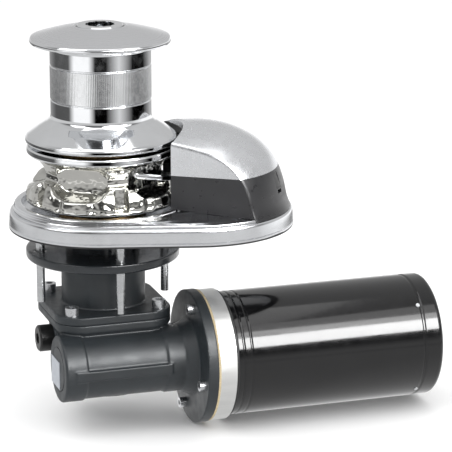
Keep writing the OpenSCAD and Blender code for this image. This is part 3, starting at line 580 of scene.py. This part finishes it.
def make_lid():
    n, around, behind = 110, 300, 60
    sheets = []
    for inset, width in ((0.0, 2.2), (WALL, 1.0)):
        outer, inner = directions(inset, around, behind)
        sheets.append(lid_columns(outer, inset, JOINT_Z, n, width)
                      + lid_columns(inner, inset, TOP_WALL_Z, n, width))
    cols = len(sheets[0])
    verts, faces = [], []
    for sheet in sheets:
        verts += [tuple(c[i]) for i in range(n) for c in sheet]
    faces += grid_faces(n, cols)
    faces += [tuple(v + n * cols for v in f) for f in grid_faces(n, cols, flip=True)]
    rim, rim_in = (n - 1) * cols, n * cols + (n - 1) * cols
    for j in range(cols):
        k = (j + 1) % cols
        faces.append((rim + k, rim + j, rim_in + j, rim_in + k))
    o = piece("cover_lid_chrome", verts, faces, [LID, PLUG], "cover", "cover_lid", angle=40)
    # painted shade: the lid's inner wall round the drum, low down, gets the black plastic in place of the
    # shade and dark reflection on it
    for f in o.data.polygons:
        c = f.center / MM
        if math.hypot(c.x, c.y) < CUT_R + 0.4 and c.z < PAINTED_SHADE_BELOW and f.normal.z < 0.3:
            f.material_index = 1


def shell_wall(angles, inset, z_low, z_high, rows, width):
    """Rows of points round the shell, from z_low up to z_high."""
    e = np.stack([np.cos(angles), np.sin(angles)], 1)
    flat = wall_distance(e, inset, disc=False)
    grid = []
    for i in range(rows):
        share = i / (rows - 1)
        z = z_low + (z_high - z_low) * share
        r = dome_r(z, inset)
        d = np.minimum(flat, ray_to_ridge_distance(e, r))
        line = np.column_stack([HUB + e * d[:, None], z])
        grid.append(even(soften(line, width, 0.5), len(angles)))
    return grid


def make_shell():
    rows, around = 26, 420
    foot = None
    walls = []
    for inset, width in ((0.0, 2.0), (WALL, 1.0)):
        angles, _ = directions(inset, around, 2)
        e = np.stack([np.cos(angles), np.sin(angles)], 1)
        d = np.minimum(wall_distance(e, inset, disc=False),
                       ray_to_ridge_distance(e, END_R - CROWN_INSET - inset))
        if foot is None:
            foot = np.array([crown_height(*(HUB + e[k] * d[k])) + FOOT_GAP for k in range(around)])
            foot = np.where(d < wall_distance(e, inset, disc=False) - 0.5, SHELF_Z + FOOT_GAP, foot)
        walls.append(shell_wall(angles, inset, foot, np.full(around, JOINT_Z - JOINT_GAP), rows, width))
    verts = [tuple(p) for w in walls for row in w for p in row]
    half = rows * around
    faces = grid_faces(rows, around, wrap_cols=False)
    faces += [tuple(v + half for v in f) for f in grid_faces(rows, around, wrap_cols=False, flip=True)]
    for row in (0, rows - 1):
        for j in range(around - 1):
            a, b = row * around + j, row * around + j + 1
            faces.append((a, b, b + half, a + half))
    for i in range(rows - 1):
        for j in (0, around - 1):
            a, b = i * around + j, (i + 1) * around + j
            faces.append((a, b, b + half, a + half))
    o = piece("cover_shell_moulded", verts, faces, PLASTIC, None, angle=40)
    for width, height in (LATCH_WINDOW, LATCH_SLOT):
        boolean(o, block(END, LATCH_TURN, LATCH_REACH, width, height), "DIFFERENCE")
    smooth(o.data, 40)
    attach(o, "cover")
    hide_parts("cover_shell")


# ---------- drum and gypsy ----------

RIDGES, RIDGE_H = 180, 0.05
KNURL_Z, KNURL_R = (125.9, 156.6), 48.15
DISC_Z, NUT_EDGE_R = 183.9, 24.8      # the turned disc lies above this height and outside this radius


def make_drum():
    path = fillet([
        (12.5, 88), (24, 88), (24, 145), (41, 145), (41, 90), (40.3, 90), (40.3, 83.5), (71.3, 83.5, 0.6),
        (72.5, 84.9, 1.2), (72.5, 88.2, 1.4), (70.6, 90.4, 2.5), (60, 98, 30), (52, 103, 10),
        (48.4, 106.4, 4),
        (48, 110, 3), (48, 124, 0.5), (47.3, 124.4, 0.2), (47.3, 125.4, 0.2),
        (KNURL_R, KNURL_Z[0]), (KNURL_R, KNURL_Z[1]),
        (47.3, 157.1, 0.2), (47.3, 158.1, 0.2), (48, 158.5, 0.5), (48, 173.5, 3), (49.6, 176.3, 2.5),
        (54, 177.6, 3), (64.5, 178.3, 3), (66.4, 179, 1.2), (67, 180.6, 1.2), (67, 182.2, 1.2),
        (66, 183.8, 1.5),
        (64, 184.4, 2), (48, 189, 60), (34, 192.3, 60), (26.2, 193.7, 1), (24.6, 194.4, 0.6),
        (23.4, 194.5, 0.4),
        (22.8, 194.1, 0.3), (22.8, 154), (12.5, 154)])
    wave = (0.0, RIDGE_H, 0.0, -RIDGE_H)

    def ripple(r, z, a, k):
        knurled = KNURL_Z[0] - 0.1 < z < KNURL_Z[1] + 0.1 and abs(r - KNURL_R) < 0.05
        return r + wave[k % 4] if knurled else r

    verts, faces = revolve(supported(path), RIDGES * len(wave), ripple)
    o = piece("drum_turned", verts, faces, [CHROME, DISC, KNURL], "shaft", "drum", angle=36)
    for f in o.data.polygons:
        c = f.center / MM
        r = math.hypot(c.x, c.y)
        if c.z > DISC_Z and r > NUT_EDGE_R:
            f.material_index = 1
        elif KNURL_Z[0] - 0.2 < c.z < KNURL_Z[1] + 0.2 and r > 47.8:
            f.material_index = 2


POCKETS, POCKET_TURN, GROOVE_Z = 5, 18.0, 54.5
PITCH = 360 / POCKETS
POCKET_HALF, POCKET_END_R, POCKET_SOFT = 13, 13.8, 6     # an oval, wide and high, with a soft edge
BOWL_R, BOWL_RISE = 49.8, 2.5
SLOT_HALF, SLOT_R, SLOT_Z, SLOT_SOFT = 6, 62, (30, 52), 2.4
FLUTE_OFF, FLUTE_HALF, FLUTE_DEPTH, FLUTE_Z, FLUTE_SOFT = 22, 5, 2.4, (27, 47), (4, 5)
CAST_Z = (27, 72.5)                                      # the casting is polished above and below; between, its darker chrome is partly its cast finish and partly painted shade
STEP = 0.9                                               # between points of the section
TURNED_R, TURNED_Z = 50.5, 25.6                          # inside and below these nothing is cast


def ease(t):
    t = min(1.0, max(0.0, t))
    return t * t * (3 - 2 * t)


def make_gypsy():
    outer = fillet([
        (42.4, 25), (70, 25, 1), (72.6, 26.4, 2), (73, 29, 3), (73, 32, 3), (71.4, 39.5, 12), (68.6, 46, 5),
        (66, 48.8, 3), (60, 50.6, 3), (57, 51.6, 2), (57, 57.6, 3), (58.6, 60.5, 5), (60.6, 65, 6),
        (63, 69, 4), (70.2, 72.8, 2), (71.5, 74.4, 1), (71.5, 78.8, 0.8), (70.4, 80, 0.8), (42.2, 80)], 4)
    dense = []
    for (r0, z0), (r1, z1) in zip(outer, outer[1:]):
        steps = max(1, int(math.hypot(r1 - r0, z1 - z0) / STEP)) if min(r0, r1) > 50 else 2
        dense += [(r0 + (r1 - r0) * k / steps, z0 + (z1 - z0) * k / steps) for k in range(steps)]
    path = dense + [(42.1, 80), (34.2, 59), (30, 59), (30, 47), (34.2, 47), (42.4, 25.2)]

    def ripple(r, z, a, k):
        if r < TURNED_R or z < TURNED_Z:
            return r
        off = (math.degrees(a) - POCKET_TURN + PITCH / 2) % PITCH - PITCH / 2
        q = r
        for _ in range(3):
            y = q * math.sin(RAD(off))
            reach = math.hypot(max(0.0, abs(y) - POCKET_HALF), z - GROOVE_Z)
            bowl = BOWL_R / math.cos(RAD(off)) + BOWL_RISE * min(1.0, reach / POCKET_END_R) ** 2
            q = r + (min(r, bowl) - r) * ease(0.5 - (reach - POCKET_END_R) / POCKET_SOFT)
        from_slot = PITCH / 2 - abs(off)
        y = r * math.sin(RAD(from_slot))
        slot = max(y - SLOT_HALF, SLOT_Z[0] - z, z - SLOT_Z[1])
        q += (min(q, SLOT_R / math.cos(RAD(from_slot))) - q) * ease(0.5 - slot / SLOT_SOFT)
        flute = (ease(1 - abs(from_slot - FLUTE_OFF) / FLUTE_HALF) * ease((FLUTE_Z[1] - z) / FLUTE_SOFT[1])
                 * ease((z - FLUTE_Z[0]) / FLUTE_SOFT[0]))
        return q - FLUTE_DEPTH * flute

    verts, faces = revolve(path, 480, ripple)
    o = piece("gypsy_cast", verts, faces, [CAST_CHROME_AND_SHADE, CHROME], "gypsy", "gypsy", angle=50)
    # the middle band gets the darker chrome, which carries painted shade as well as the cast finish
    for f in o.data.polygons:
        z = f.center.z / MM
        f.material_index = 1 if z > CAST_Z[1] or z < CAST_Z[0] else 0


# ---------- lever ----------

LEVER_LINE = np.array([
    [64, -48, 0], [58, -48.1, 0.1], [52, -48.6, 0.4], [42, -53.2, 2.2], [28, -58.9, 5.4], [13.5, -63.5, 9.0]])
LEVER_Z, LEVER_HALF, TIP = 53.5, 2.9, 3.0      # height of the pivot end, half thickness, rounded end


def make_lever():
    sides, count = 24, 60
    s = run(LEVER_LINE)
    t = np.linspace(0, s[-1], count)
    mid = np.stack([hermite(s, LEVER_LINE[:, k], t) for k in range(3)], 1)
    verts = []
    for i, p in enumerate(mid):
        ahead = mid[min(i + 1, count - 1)] - mid[max(i - 1, 0)]
        ahead /= np.linalg.norm(ahead)
        side = np.cross([0, 0, 1], ahead)
        side /= np.linalg.norm(side)
        left = max(0.0, (t[-1] - t[i]) / TIP)
        half = LEVER_HALF * math.sqrt(max(0.02, 1 - (1 - min(1.0, left)) ** 2))
        for k in range(sides):
            a = 2 * math.pi * k / sides
            c, d = math.cos(a), math.sin(a)
            w = half * math.copysign(abs(c) ** 0.5, c)
            h = half * math.copysign(abs(d) ** 0.5, d)
            verts.append(tuple(p + side * w + np.array([0, 0, LEVER_Z + h])))
    faces = grid_faces(count, sides)
    faces += [tuple(range(sides)), tuple(range((count - 1) * sides, count * sides))]
    o = piece("pressure_lever_polished", verts, faces, CHROME, None, angle=60)
    hub = fillet([(4.05, 50.5), (6.3, 50.5, 0.6), (7, 51.2, 0.6), (7, 55.8, 0.6), (6.3, 56.5, 0.6),
                  (4.05, 56.5)], 3)
    v, f = revolve(hub, 64)
    v = [(x + LEVER[0], y + LEVER[1], z) for x, y, z in v]
    boolean(o, rod(*LEVER, 40, 70, 5), "DIFFERENCE")
    ring = piece("hub", v, f, CHROME, None)
    boolean(o, ring, "UNION")
    smooth(o.data, 40)
    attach(o, "lever")
    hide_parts("pressure_lever")


# ---------- castings ----------

def casting(node, name, voxel, rounds, material):
    """The CAD node's shape with the soft edges of a painted casting."""
    me = frame["nodes"][node].data.copy()
    me.materials.clear()
    bm = bmesh.new()
    bm.from_mesh(me)
    bmesh.ops.remove_doubles(bm, verts=bm.verts, dist=SLIVER)
    bm.to_mesh(me)
    bm.free()
    o = linked(name, me)
    r = o.modifiers.new("remesh", "REMESH")
    r.mode, r.voxel_size = "VOXEL", voxel * MM
    s = o.modifiers.new("smooth", "SMOOTH")
    s.factor, s.iterations = 0.6, rounds
    applied(o)
    for m in material if isinstance(material, list) else [material]:
        o.data.materials.append(m)
    o.data.shade_smooth()
    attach(o, "frame")
    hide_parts(node)
    return o


MOTOR_AXIS = (-50.0, -125.0)
CASE_X, CAP_X, CASE_R, CASE_IN_R = 103.0, 296.0, 60.0, 56.0
TERMINALS_X, TERMINAL_HOLE_R = (262.0, 284.0), 6
FLANGE_TOP = -0.0335             # metres: the flange's upper face, which is glossier, starts here


def make_motor_case():
    """Rolled tube with a bead between two grooves at the front and a groove at the cap."""
    path = supported([
        (CASE_IN_R, CASE_X), (59.3, CASE_X), (59.8, CASE_X + 0.2), (CASE_R, CASE_X + 0.7), (CASE_R, 107.4),
        (59.75, 107.9), (59.2, 108.6), (59.2, 109.2), (59.75, 109.9), (CASE_R, 110.4), (CASE_R, 115.2),
        (59.75, 115.7), (59.3, 116.4), (59.3, 117.0), (59.75, 117.7), (CASE_R, 118.2), (CASE_R, 291.6),
        (59.75, 292.2), (59.1, 293.0), (59.1, 294.2), (59.75, 294.9), (59.95, 295.3), (59.95, CAP_X),
        (CASE_IN_R, CAP_X)])
    verts, faces = revolve(path, 192)
    verts = [(z, y + MOTOR_AXIS[0], x + MOTOR_AXIS[1]) for x, y, z in verts]
    o = piece("motor_case_rolled", verts, faces, BLACK, None)
    for x in TERMINALS_X:
        tool = rod(0, 0, 0, 80, TERMINAL_HOLE_R)
        tool.data.transform(Matrix.Translation((x * MM, MOTOR_AXIS[0] * MM, MOTOR_AXIS[1] * MM))
                            @ Matrix.Rotation(RAD(-90), 4, "X"))
        boolean(o, tool, "DIFFERENCE")
    smooth(o.data)
    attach(o, "frame")
    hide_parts("motor_case")


# ---------- build ----------

for name, o in frame["nodes"].items():
    o.data.materials.clear()
    o.data.materials.append(NODE_MATERIAL.get(name, SLOT_MATERIAL[SLOT_OF[name]]))
    smooth(o.data)

make_base()
make_lid()
make_shell()
make_drum()
make_gypsy()
make_lever()
make_motor_case()
casting("gearbox_housing", "gearbox_housing_cast", 0.9, 5, COAT)
flange = casting("deck_flange", "deck_flange_cast", 0.9, 4, [COAT, COAT_SMOOTH])
for f in flange.data.polygons:
    if f.center.z > FLANGE_TOP:
        f.material_index = 1


# ---------- studio ----------

CAM_AZ, CAM_EL = -18.129, 15.189
CAM_AT, CAM_LENS = (-0.6152, -2.2608, 0.6334), 200.6
FORWARD = (math.sin(RAD(CAM_AZ)), -math.cos(RAD(CAM_AZ)), 0)     # level, from the windlass to the camera
RIGHTWARD = (math.cos(RAD(CAM_AZ)), math.sin(RAD(CAM_AZ)), 0)
LIGHT_AIM = (0.1, 0, 0)
FLOOR_Z, FLOOR_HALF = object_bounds()[0].z - 0.0005, 12


def tree_of(owner):
    owner.use_nodes = True
    owner.node_tree.nodes.clear()
    return owner.node_tree


def add_node(tree, kind, *sources, **values):
    """Adds a node whose first inputs are linked to sources or set to numbers."""
    n = tree.nodes.new(kind)
    for k, v in values.items():
        setattr(n, k, v)
    for socket, source in zip(n.inputs, sources):
        if isinstance(source, bpy.types.NodeSocket):
            tree.links.new(source, socket)
        elif source is not None:
            socket.default_value = source
    return n


def turn_ramp(tree, xyz, bands):
    """Brightness by direction about Z; bands are (degrees right of the camera, brightness)."""
    ahead = add_node(tree, "ShaderNodeVectorMath", xyz, FORWARD, operation="DOT_PRODUCT")
    right = add_node(tree, "ShaderNodeVectorMath", xyz, RIGHTWARD, operation="DOT_PRODUCT")
    angle = add_node(tree, "ShaderNodeMath", right.outputs["Value"], ahead.outputs["Value"],
                     operation="ARCTAN2")
    share = add_node(tree, "ShaderNodeMapRange", angle.outputs[0], -math.pi, math.pi, 0.0, 1.0)
    return ramp(tree, share.outputs[0], [(0.5 + deg / 360, v) for deg, v in bands])


def ramp(tree, source, stops):
    """Grey that follows source, by (position, brightness) stops."""
    colours = add_node(tree, "ShaderNodeValToRGB", source)
    while len(colours.color_ramp.elements) < len(stops):
        colours.color_ramp.elements.new(0.5)
    for e, (pos, v) in zip(colours.color_ramp.elements, stops):
        e.position, e.color = pos, (v, v, v, 1)
    return colours.outputs["Color"]


def blend(tree, share, a, b):
    m = add_node(tree, "ShaderNodeMix", data_type="RGBA")
    tree.links.new(share, m.inputs[0])
    tree.links.new(a, m.inputs[6])
    tree.links.new(b, m.inputs[7])
    return m.outputs[2]


# the studio walls, by degrees to the right of the camera: a pale wall behind, a white card on each
# side of the front, and black flags between them
ROOM = [(-180, 0.5), (-120, 0.1), (-75, 0.1), (-60, 1.2), (-25, 1.2), (-10, 0.0), (15, 0.0),
        (45, 0.8), (80, 0.0), (115, 0.0), (150, 0.5), (180, 0.5)]
# the table top: lit on the far side, dimmer towards the camera
TABLE = [(-180, 1.2), (-150, 0.7), (75, 0.7), (110, 1.2), (180, 1.2)]
TABLE_R, NEAR_R, NEAR_SOFT = 1.09, 0.875, 0.02   # table, and the edge beyond which it mirrors the walls
MIRRORED = 0.6                                   # how bright the walls are in the table


def reflected_only(name, verts, faces):
    """Stage object seen only in reflections; returns its material's empty tree."""
    me = bpy.data.meshes.new(name)
    me.from_pydata(verts, [], faces)
    o = linked(name, me)
    m = bpy.data.materials.new(name)
    me.materials.append(m)
    o.visible_camera = o.visible_diffuse = o.visible_shadow = o.visible_transmission = False
    return tree_of(m)


def emit(tree, colour, strength=1.0):
    e = add_node(tree, "ShaderNodeEmission", colour, strength)
    add_node(tree, "ShaderNodeOutputMaterial", e.outputs[0])


def make_table():
    turns = [2 * math.pi * k / 96 for k in range(96)]
    ring = [(TABLE_R * math.cos(a), TABLE_R * math.sin(a), FLOOR_Z + 0.001) for a in turns]
    tree = reflected_only("table", ring, [tuple(range(96))])
    xyz = add_node(tree, "ShaderNodeTexCoord").outputs["Object"]
    flat = add_node(tree, "ShaderNodeVectorMath", xyz, (1, 1, 0), operation="MULTIPLY")
    far = add_node(tree, "ShaderNodeVectorMath", flat.outputs[0], operation="LENGTH")
    share = add_node(tree, "ShaderNodeMapRange", far.outputs["Value"], NEAR_R - NEAR_SOFT, NEAR_R + NEAR_SOFT,
                     0.0, 1.0)
    walls = [(deg, v * MIRRORED) for deg, v in ROOM]
    emit(tree, blend(tree, share.outputs[0], turn_ramp(tree, xyz, TABLE), turn_ramp(tree, xyz, walls)))


def outward(azimuth, elevation):
    """Unit vector; azimuth 0 looks along -Y and grows to the right of it."""
    a, e = RAD(azimuth), RAD(elevation)
    return Vector((math.sin(a) * math.cos(e), -math.cos(a) * math.cos(e), math.sin(e)))


def panel(name, azimuth, elevation, distance, width, height, strength):
    """Softbox seen only in reflections, by degrees right of the camera and up."""
    a = RAD(CAM_AZ + azimuth)
    out = outward(CAM_AZ + azimuth, elevation)
    side = Vector((math.cos(a), math.sin(a), 0))
    up = side.cross(-out)
    c = out * distance
    verts = [tuple(c + side * (i * width / 2) + up * (j * height / 2))
             for i, j in ((-1, -1), (1, -1), (1, 1), (-1, 1))]
    emit(reflected_only(name, verts, [(0, 1, 2, 3)]), (1, 1, 1, 1), strength)


def make_floor():
    h = FLOOR_HALF
    me = bpy.data.meshes.new("floor")
    corners = [(-h, -h, FLOOR_Z), (h, -h, FLOOR_Z), (h, h, FLOOR_Z), (-h, h, FLOOR_Z)]
    me.from_pydata(corners, [], [(0, 1, 2, 3)])
    floor = linked("floor", me)
    paper = bpy.data.materials.new("paper")
    paper.use_nodes = True
    inputs = paper.node_tree.nodes["Principled BSDF"].inputs
    inputs["Base Color"].default_value = (0.95, 0.95, 0.95, 1)
    inputs["Roughness"].default_value = 0.9
    me.materials.append(paper)
    floor.visible_glossy = False


def make_world():
    """Plain light for everything, and a room with table, walls and sky for what is reflected."""
    world = bpy.data.worlds.new("studio")
    bpy.context.scene.world = world
    tree = tree_of(world)
    xyz = add_node(tree, "ShaderNodeTexCoord").outputs["Generated"]
    height = add_node(tree, "ShaderNodeSeparateXYZ", xyz).outputs["Z"]
    table_to_walls = add_node(tree, "ShaderNodeMapRange", height, -0.19, -0.16, 0.0, 1.0)
    walls_to_sky = add_node(tree, "ShaderNodeMapRange", height, 0.0, 0.16, 0.0, 1.0)
    ahead = add_node(tree, "ShaderNodeVectorMath", xyz, FORWARD, operation="DOT_PRODUCT")
    behind = add_node(tree, "ShaderNodeMapRange", ahead.outputs["Value"], 0.2, -0.3, 0.0, 1.0)
    front_sky = ramp(tree, height, [(0.0, 0.2), (0.3, 0.05), (0.8, 0.5), (1.0, 0.6)])
    back_sky = ramp(tree, height, [(0.0, 0.55), (1.0, 0.65)])
    sky = blend(tree, behind.outputs[0], front_sky, back_sky)
    low = blend(tree, table_to_walls.outputs[0], turn_ramp(tree, xyz, ROOM), turn_ramp(tree, xyz, TABLE))
    room = add_node(tree, "ShaderNodeBackground", blend(tree, walls_to_sky.outputs[0], low, sky), 1.0)
    plain = add_node(tree, "ShaderNodeBackground", (1, 1, 1, 1), 1.07)
    glossy = add_node(tree, "ShaderNodeLightPath").outputs["Is Glossy Ray"]
    mix = add_node(tree, "ShaderNodeMixShader", glossy, plain.outputs[0], room.outputs[0])
    add_node(tree, "ShaderNodeOutputWorld", mix.outputs[0])


def area(name, azimuth, elevation, distance, size, power):
    d = bpy.data.lights.new(name, "AREA")
    d.shape, d.size, d.size_y, d.energy = "RECTANGLE", size[0], size[1], power
    o = linked(name, d)
    out = outward(azimuth, elevation)
    o.location = Vector(LIGHT_AIM) + out * distance
    o.rotation_euler = (-out).to_track_quat("-Z", "Y").to_euler()


def make_camera():
    data = bpy.data.cameras.new("camera")
    data.lens, data.sensor_width = CAM_LENS, 36
    camera = linked("camera", data)
    camera.location = CAM_AT
    camera.rotation_euler = (RAD(90 - CAM_EL), 0, RAD(CAM_AZ))
    bpy.context.scene.camera = camera
    bpy.context.scene.view_settings.view_transform = "Standard"


make_table()
panel("streak", 40, 25, 2.0, 1.5, 0.62, 18.0)
panel("streak_glow", 36, 31, 2.1, 1.9, 1.0, 5.0)
make_floor()
make_world()
area("softbox_left", CAM_AZ - 55, 38, 1.6, (0.9, 1.2), 7)
area("softbox_right", CAM_AZ + 60, 35, 1.7, (0.8, 1.2), 4)
area("softbox_top", CAM_AZ + 10, 80, 1.5, (1.4, 1.0), 5)
make_camera()
